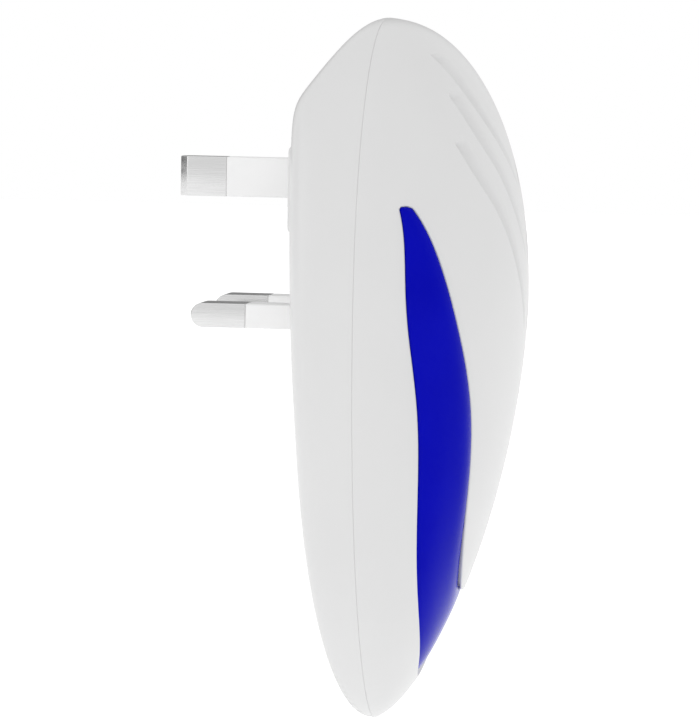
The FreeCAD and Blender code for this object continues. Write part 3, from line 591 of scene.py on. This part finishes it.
def lathe(name, x, z, profile, count=48):
    """A closed ring or bar about a front-to-back axis; the profile gives (radius, depth) round it."""
    build = bmesh.new()
    rings = []
    for radius, depth in profile:
        if radius == 0:
            rings.append([build.verts.new((x * MM, -depth * MM, z * MM))] * count)
            continue
        turns = [2 * math.pi * n / count for n in range(count)]
        ring = [(x + radius * math.cos(a), -depth, z + radius * math.sin(a)) for a in turns]
        rings.append([build.verts.new((a * MM, b * MM, c * MM)) for a, b, c in ring])
    closed = profile[0][0] > 0
    for one, two in zip(rings, rings[1:] + (rings[:1] if closed else [])):
        for n in range(count):
            corners = [one[n], one[(n + 1) % count], two[(n + 1) % count], two[n]]
            corners = list(dict.fromkeys(corners))
            if len(corners) > 2:
                build.faces.new(corners)
    bmesh.ops.recalc_face_normals(build, faces=build.faces)
    return smooth(made_object(name, build))


def soften(build, bevel):
    """Rounds all the sharp edges of the mesh being built."""
    bmesh.ops.recalc_face_normals(build, faces=build.faces)
    sharp = [edge for edge in build.edges if edge.calc_face_angle(0) > math.radians(20)]
    bmesh.ops.bevel(
        build, geom=sharp, offset=bevel * MM, segments=3, profile=0.5, affect="EDGES", clamp_overlap=True
    )


def extruded(name, outline, half, bevel, x=0.0, z=0.0):
    """A side-view outline of (y, z) points carried across, with all its sharp edges rounded."""
    build = bmesh.new()
    low = [build.verts.new(((x - half) * MM, y * MM, (z + up) * MM)) for y, up in outline]
    face = build.faces.new(low)
    out = bmesh.ops.extrude_face_region(build, geom=[face])
    moved = [item for item in out["geom"] if isinstance(item, bmesh.types.BMVert)]
    bmesh.ops.translate(build, verts=moved, vec=(2 * half * MM, 0, 0))
    soften(build, bevel)
    return smooth(made_object(name, build), 25)


def core_view(half, end):
    """The side view of a pin's core, from its root to its end."""
    return [(-PIN_ROOT, -half), (end, -half), (end, half), (-PIN_ROOT, half)]


def earth_end(name):
    """The earth pin's bare end: a bar whose two wide sides are chamfered at the tip."""
    half, reach, bare, tall = EARTH_WIDTH / 2, EARTH_REACH, EARTH_BARE, EARTH_TALL
    chamfer = 1.3
    build = bmesh.new()
    view = [(-half, reach - bare), (half, reach - bare), (half, reach - chamfer),
            (half - chamfer * 0.75, reach), (chamfer * 0.75 - half, reach), (-half, reach - chamfer)]
    low = [build.verts.new((x * MM, y * MM, (EARTH_HEIGHT - tall / 2) * MM)) for x, y in view]
    out = bmesh.ops.extrude_face_region(build, geom=[build.faces.new(low)])
    moved = [item for item in out["geom"] if isinstance(item, bmesh.types.BMVert)]
    bmesh.ops.translate(build, verts=moved, vec=(0, 0, tall * MM))
    soften(build, 0.12)
    return smooth(made_object(name, build), 25)


def tube(name, x, z, width, tall, start, end, thick):
    """A sleeve of rounded rectangular section between two values of y, its edges softened."""
    outer = rounded_rectangle(0, 0, width, tall, 0.35)
    build = bmesh.new()
    rings = []
    soft = 0.08
    steps = (
        (0, start), (0, end - soft), (0.03, end - soft * 0.3), (soft, end),
        (thick - 0.02, end), (thick, end - 0.04), (thick, start),
    )
    for inward, y in steps:
        scale = np.array([(width - 2 * inward) / width, (tall - 2 * inward) / tall])
        rings.append([build.verts.new(((x + a) * MM, y * MM, (z + b) * MM)) for a, b in outer * scale])
    for one, two in zip(rings, rings[1:] + rings[:1]):
        for n in range(len(outer)):
            m = (n + 1) % len(outer)
            build.faces.new((one[n], one[m], two[m], two[n]))
    bmesh.ops.recalc_face_normals(build, faces=build.faces)
    return smooth(made_object(name, build), 35)


# ---- materials -----------------------------------------------------------------------------------


class Material:
    """A node material; its methods return sockets to link on."""

    def __init__(self, name, **sockets):
        self.material = bpy.data.materials.new(name)
        self.material.use_nodes = True
        self.tree = self.material.node_tree
        self.shader = self.tree.nodes["Principled BSDF"]
        for label, value in sockets.items():
            self.shader.inputs[label.replace("_", " ")].default_value = value

    def node(self, kind, settings=None, **inputs):
        """A new node; an input's name has underscores for its spaces."""
        node = self.tree.nodes.new(kind)
        for label, value in (settings or {}).items():
            setattr(node, label, value)
        for label, value in inputs.items():
            self.put(node.inputs[label.replace("_", " ")], value)
        return node

    def put(self, socket, value):
        if isinstance(value, bpy.types.NodeSocket):
            self.tree.links.new(value, socket)
        else:
            socket.default_value = value

    def place(self, *scale):
        """Object coordinates in metres, scaled along each axis."""
        where = self.node("ShaderNodeTexCoord").outputs["Object"]
        return self.node("ShaderNodeMapping", Vector=where, Scale=scale).outputs["Vector"]

    def noise(self, scale, detail=3.0, stretch=(1, 1, 1)):
        """Noise of so many patches to the metre."""
        where = self.place(*stretch)
        node = self.node("ShaderNodeTexNoise", Vector=where, Scale=scale, Detail=detail)
        return node.outputs["Fac"]

    def spread(self, value, low, high, start=0.3, end=0.7):
        """A value from start to end, mapped to low to high."""
        node = self.node("ShaderNodeMapRange", Value=value)
        for label, number in (("From Min", start), ("From Max", end), ("To Min", low), ("To Max", high)):
            node.inputs[label].default_value = number
        return node.outputs["Result"]

    def mix(self, amount, first, second):
        node = self.node("ShaderNodeMix", {"data_type": "RGBA"})
        self.put(node.inputs[0], amount)
        self.put(node.inputs[6], first)
        self.put(node.inputs[7], second)
        return node.outputs[2]

    def colour(self, value):
        self.put(self.shader.inputs["Base Color"], value)

    def rough(self, value):
        self.put(self.shader.inputs["Roughness"], value)

    def bump(self, height, distance, strength=1.0):
        node = self.node("ShaderNodeBump", Height=height, Strength=strength, Distance=distance)
        self.put(self.shader.inputs["Normal"], node.outputs["Normal"])


def grey(value):
    return (value, value, value, 1.0)


def rgb(red, green, blue):
    return (red, green, blue, 1.0)


def mottled(name, first, second, scale, rough, grain, depth, **sockets):
    """A material of two close colours in soft patches, with a fine grain that also varies its gloss."""
    made = Material(name, **sockets)
    made.colour(made.mix(made.spread(made.noise(scale), 0, 1), first, second))
    fine = made.noise(grain, 2.0)
    made.rough(made.spread(fine, rough[0], rough[1]))
    made.bump(fine, depth)
    return made.material


def brushed(name, first, second, rough, stretch, **sockets):
    """Metal with fine straight lines, long along the axis whose stretch is small."""
    made = Material(name, Metallic=1.0, **sockets)
    lines = made.noise(9000.0, 2.0, stretch)
    broad = made.noise(1500.0, 3.0, stretch)
    made.colour(made.mix(made.spread(lines, 0, 1), first, second))
    made.rough(made.spread(broad, rough[0], rough[1]))
    made.bump(lines, 0.000012, 0.5)
    return made.material


def banded(name, ground, bands, axis, start, rough):
    """Coloured bands across an axis, each (middle, half-width, colour) in metres from start."""
    made = Material(name)
    parts = made.node("ShaderNodeSeparateXYZ", Vector=made.node("ShaderNodeTexCoord").outputs["Object"])
    along = parts.outputs[axis]
    colour = ground
    for middle, half, paint in bands:
        compare = made.node("ShaderNodeMath", {"operation": "COMPARE"})
        made.put(compare.inputs[0], along)
        compare.inputs[1].default_value = start + middle
        compare.inputs[2].default_value = half
        colour = made.mix(compare.outputs[0], colour, paint)
    made.colour(colour)
    made.rough(made.spread(made.noise(3000.0), rough, rough + 0.15))
    return made.material


def board_material():
    """Green solder resist with lighter copper tracks under it."""
    made = Material("board_resist")
    cell = made.node("ShaderNodeTexBrick", Vector=made.place(1, 1, 1), Scale=240.0)
    cell.inputs["Color1"].default_value = rgb(0.012, 0.13, 0.03)
    cell.inputs["Color2"].default_value = rgb(0.016, 0.16, 0.04)
    cell.inputs["Mortar"].default_value = rgb(0.02, 0.26, 0.07)
    cell.inputs["Mortar Size"].default_value = 0.03
    made.colour(cell.outputs["Color"])
    made.rough(made.spread(made.noise(1200.0), 0.25, 0.4))
    made.bump(cell.outputs["Fac"], 0.00003)
    return made.material


def wound_material():
    """Yellow tape over a winding, with the turns showing through."""
    made = Material("coil_tape")
    where = made.place(1, 1, 1)
    wave = made.node("ShaderNodeTexWave", {"bands_direction": "Z"}, Vector=where, Scale=420.0)
    made.colour(made.mix(wave.outputs["Fac"], rgb(0.62, 0.42, 0.03), rgb(0.78, 0.56, 0.06)))
    made.rough(made.spread(made.noise(2000.0), 0.3, 0.5))
    made.bump(wave.outputs["Fac"], 0.00006)
    return made.material


def wire(name, colour):
    """The plastic insulation of a wire."""
    darker = tuple(0.8 * part for part in colour[:3]) + (1.0,)
    return mottled(name, colour, darker, 400.0, (0.3, 0.42), 3000.0, 0.000006)


# A resistor's colour bands, in metres from its middle.
BANDS = [(-0.0018, 0.0003, rgb(0.25, 0.08, 0.02)), (-0.0008, 0.0003, grey(0.02)),
         (0.0002, 0.0003, rgb(0.6, 0.05, 0.02)), (0.0018, 0.0003, rgb(0.55, 0.4, 0.1))]


def finish_with(thing, material):
    """Gives a piece or a carried-over CAD node its material."""
    if thing.data.materials:
        for n in range(len(thing.data.materials)):
            thing.data.materials[n] = material
    else:
        thing.data.materials.append(material)


# ---- the pieces ----------------------------------------------------------------------------------


def add(piece, slot, material, *nodes):
    """Gives a piece its material and body, and hides the CAD nodes that it replaces; slot is not used."""
    finish_with(piece, material)
    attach(piece, "root")
    if nodes:
        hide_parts(*nodes)
    return piece


plastic = mottled("white_plastic", grey(0.635), grey(0.645), 60.0, (0.30, 0.36), 5200.0, 0.000004,
                  Specular_IOR_Level=0.35)
add(make_front(), "case_white", plastic, "front_cover")
add(make_rear(), "case_white", plastic, "rear_cover")
for n, (x, z) in enumerate(CASE_SCREWS, start=1):
    well = [(SCREW_WELL, 1.8), (SCREW_WELL, 8.0), (1.4, 8.0), (1.4, 12.6), (3.6, 12.6), (3.6, 1.8)]
    add(lathe("screw_well_%d" % n, x, z, well), "case_white", plastic)
for n, (x, z) in enumerate(BOARD_POSTS, start=1):
    # Each post starts within the wall, which is further forward low down.
    root = 2.0 if z > 0 else 4.2
    post = [(0, root), (2.5, root), (2.5, 14.9), (2.3, 15.0), (0, 15.0)]
    add(lathe("board_post_%d" % n, x, z, post), "case_white", plastic)

blue = mottled("lens_blue", rgb(0.0012, 0.0020, 0.36), rgb(0.0018, 0.0028, 0.39), 90.0,
               (0.14, 0.18), 3000.0, 0.000002, Specular_IOR_Level=0.03)
add(make_lens(), "lens_blue", blue, "lens")

sleeve = mottled("sleeve_nylon", grey(0.80), grey(0.82), 150.0, (0.35, 0.45), 4000.0, 0.000005)
nickel = brushed("pin_nickel", grey(0.70), grey(0.63), (0.20, 0.32), (1, 0.02, 1))
# A pin's bare end overlaps its core, which is as thick as the sleeve's bore.
turns = np.linspace(-90, 90, 19)
half = LINE_THICK / 2
tip = [
    (LINE_REACH - half + half * math.cos(math.radians(a)), half * math.sin(math.radians(a)))
    for a in turns
]
sleeve_end = LINE_REACH - LINE_BARE
core_half, core_end = half - SLEEVE_WALL, sleeve_end + 0.4
core_wide = LINE_WIDTH / 2 - SLEEVE_WALL
for name, x in (("live", PIN_OFFSET), ("neutral", -PIN_OFFSET)):
    body = [(sleeve_end - 0.01, -half)] + tip + [(sleeve_end - 0.01, half)]
    add(extruded(name + "_pin_end", body, LINE_WIDTH / 2, 0.22, x), "pin_metal", nickel)
    core = extruded(name + "_pin_core", core_view(core_half, core_end), core_wide, 0.1, x)
    add(core, "pin_metal", nickel, name + "_pin")
    size = (LINE_WIDTH, LINE_THICK, -SLEEVE_ROOT, sleeve_end, SLEEVE_WALL)
    cover = tube(name + "_pin_sleeve", x, 0, *size)
    add(cover, "sleeve_white", sleeve, name + "_sleeve")
add(earth_end("earth_pin_end"), "pin_metal", nickel)
sleeve_end = EARTH_REACH - EARTH_BARE
core_half, core_end = EARTH_TALL / 2 - SLEEVE_WALL, sleeve_end + 0.3
core_wide = EARTH_WIDTH / 2 - SLEEVE_WALL
core = extruded("earth_pin_core", core_view(core_half, core_end), core_wide, 0.1, 0, EARTH_HEIGHT)
add(core, "pin_metal", nickel, "earth_pin")
size = (EARTH_WIDTH, EARTH_TALL, -SLEEVE_ROOT, sleeve_end, SLEEVE_WALL)
cover = tube("earth_pin_sleeve", 0, EARTH_HEIGHT, *size)
add(cover, "sleeve_white", sleeve, "earth_sleeve")

# The parts inside the case keep their CAD shapes.
brass = brushed("brass_plate", rgb(0.72, 0.50, 0.20), rgb(0.80, 0.58, 0.26), (0.25, 0.4), (1, 1, 0.05))
steel = brushed("screw_steel", grey(0.55), grey(0.62), (0.25, 0.4), (1, 0.2, 1))
led = mottled("led_epoxy", rgb(0.80, 0.86, 0.95), rgb(0.72, 0.80, 0.92), 300.0,
              (0.06, 0.12), 4000.0, 0.000002, Transmission_Weight=0.7, IOR=1.5)
guide = mottled("guide_acrylic", rgb(0.86, 0.92, 0.97), rgb(0.80, 0.88, 0.95), 200.0,
                (0.15, 0.3), 3000.0, 0.000006, Transmission_Weight=0.6, IOR=1.49)
INSIDE = {
    "light_guide": guide,
    "pin_retainer": mottled("retainer_nylon", grey(0.03), grey(0.045), 200.0, (0.4, 0.55), 5000.0, 0.00001),
    "main_board": board_material(),
    "film_capacitor": mottled("red_epoxy", rgb(0.45, 0.03, 0.02), rgb(0.55, 0.05, 0.03), 300.0,
                              (0.25, 0.4), 2500.0, 0.00002),
    "transformer_coil": wound_material(),
    "transformer_core": mottled("ferrite", grey(0.05), grey(0.08), 900.0, (0.45, 0.65), 6000.0, 0.00002),
    "controller_chip": mottled("chip_epoxy", grey(0.018), grey(0.03), 700.0, (0.4, 0.55), 9000.0, 0.00001),
    "bridge_rectifier": mottled("rectifier_epoxy", grey(0.02), grey(0.035), 700.0,
                                (0.35, 0.5), 9000.0, 0.00001),
    "smoothing_capacitor": banded("can_sleeve", rgb(0.02, 0.02, 0.06),
                                  [(0.0, 0.0014, grey(0.6))], 2, -0.012, 0.25),
    "output_capacitor": banded("small_can_sleeve", rgb(0.02, 0.02, 0.06),
                               [(0.0, 0.0009, grey(0.6))], 2, 0.0245, 0.25),
    "resistors": banded("resistor_paint", rgb(0.62, 0.45, 0.24), BANDS, 0, 0.0125, 0.35),
    "fuse_resistor": banded("fuse_resistor_paint", rgb(0.10, 0.25, 0.12), BANDS, 0, -0.0125, 0.4),
    "chamber_ring": mottled("ring_foam", grey(0.06), grey(0.11), 1500.0, (0.8, 0.95), 3500.0, 0.00015),
    "piezo_disc": brass,
    "live_tab": brass,
    "neutral_tab": brass,
    "piezo_ceramic": mottled("ceramic_silver", grey(0.55), grey(0.62), 500.0,
                             (0.3, 0.45), 5000.0, 0.00001, Metallic=0.7),
    "case_screws": steel,
    "board_screws": steel,
    "live_wire": wire("brown_pvc", rgb(0.16, 0.05, 0.02)),
    "neutral_wire": wire("blue_pvc", rgb(0.02, 0.10, 0.42)),
    "piezo_wire": wire("red_pvc", rgb(0.50, 0.02, 0.02)),
    "ceramic_wire": wire("black_pvc", grey(0.02)),
}
for name in ("upper_right", "upper_left", "lower_right", "lower_left"):
    INSIDE["led_" + name] = led
for name, material in INSIDE.items():
    finish_with(frame["nodes"][name], material)

# ---- camera, floor and light ---------------------------------------------------------------------

YAW, PITCH, ROLL = math.radians(8.405), math.radians(4.716), math.radians(1.065)
DISTANCE, TARGET = 665.2, Vector((0, -7.62, -8.24))
FLOOR_LEVEL = -0.16
back = Vector((-math.cos(YAW) * math.cos(PITCH), -math.sin(YAW) * math.cos(PITCH), math.sin(PITCH)))
camera = bpy.data.objects.new("camera", bpy.data.cameras.new("camera"))
camera.data.lens = 198.6
camera.data.sensor_width = 36
camera.data.clip_start = 0.01
camera.matrix_world = (
    Matrix.Translation((TARGET + back * DISTANCE) * MM)
    @ back.to_track_quat("Z", "Y").to_matrix().to_4x4()
    @ Matrix.Rotation(ROLL, 4, "Z")
)
bpy.context.scene.collection.objects.link(camera)
bpy.context.scene.camera = camera
bpy.context.scene.view_settings.view_transform = "Standard"

floor_mesh = bpy.data.meshes.new("floor")
build = bmesh.new()
bmesh.ops.create_grid(build, x_segments=1, y_segments=1, size=4.0)
build.to_mesh(floor_mesh)
build.free()
floor = bpy.data.objects.new("floor", floor_mesh)
floor.location.z = FLOOR_LEVEL
bpy.context.scene.collection.objects.link(floor)
finish_with(floor, mottled("floor_paper", grey(0.90), grey(0.92), 3.0, (0.8, 0.9), 300.0, 0.00001,
                           Emission_Color=grey(1.0), Emission_Strength=0.3))


def studio():
    """White surroundings, in which shiny surfaces mirror two darker screens."""
    world = bpy.data.worlds.new("studio")
    world.use_nodes = True
    tree = world.node_tree
    ray = tree.nodes.new("ShaderNodeLightPath").outputs
    direction = tree.nodes.new("ShaderNodeTexCoord").outputs["Generated"]

    def worked_out(operation, *values):
        node = tree.nodes.new("ShaderNodeMath")
        node.operation = operation
        for socket, value in zip(node.inputs, values):
            if isinstance(value, float):
                socket.default_value = value
            else:
                tree.links.new(value, socket)
        return node.outputs[0]

    shade = None
    for towards, start, end in SCREENS:
        near = tree.nodes.new("ShaderNodeVectorMath")
        near.operation = "DOT_PRODUCT"
        tree.links.new(direction, near.inputs[0])
        near.inputs[1].default_value = Vector(towards).normalized()
        level = tree.nodes.new("ShaderNodeMapRange")
        level.interpolation_type = "SMOOTHSTEP"
        tree.links.new(near.outputs["Value"], level.inputs["Value"])
        limits = {"From Min": start, "From Max": end, "To Min": 0.0, "To Max": SCREEN_SHADE}
        for label, number in limits.items():
            level.inputs[label].default_value = number
        one = level.outputs["Result"]
        shade = one if shade is None else worked_out("MAXIMUM", shade, one)
    # Only glossy rays meet the screens, and the background itself is seen white.
    mirrored_only = worked_out("MULTIPLY", shade, ray["Is Glossy Ray"])
    light = worked_out("SUBTRACT", AMBIENT, mirrored_only)
    seen = worked_out("MAXIMUM", light, ray["Is Camera Ray"])
    tree.links.new(seen, tree.nodes["Background"].inputs["Strength"])
    tree.nodes["Background"].inputs["Color"].default_value = grey(1.0)
    bpy.context.scene.world = world


# How light the surroundings are, how much darker a screen is, and each screen's direction with the
# cosines of the angles from it at which its edge starts and ends.
AMBIENT, SCREEN_SHADE = 0.95, 0.75
SCREENS = (((0.93, 0.33, 0.16), 0.88, 0.97), ((0.10, 0.98, 0.05), 0.86, 0.97))
studio()


def lamp(name, x, y, z, size, power):
    """A square lamp that shines at the object; its place and size are in metres."""
    data = bpy.data.lights.new(name, "AREA")
    data.size, data.energy = size, power
    thing = bpy.data.objects.new(name, data)
    thing.location = (x, y, z)
    thing.rotation_euler = Vector((x, y, z)).to_track_quat("Z", "Y").to_euler()
    bpy.context.scene.collection.objects.link(thing)


lamp("overhead", -0.2, -0.1, 1.2, 1.2, 0.8)
lamp("behind", -0.7, 0.9, 0.4, 0.8, 1.2)
lamp("front", -0.3, -0.9, 1.1, 0.9, 0.9)
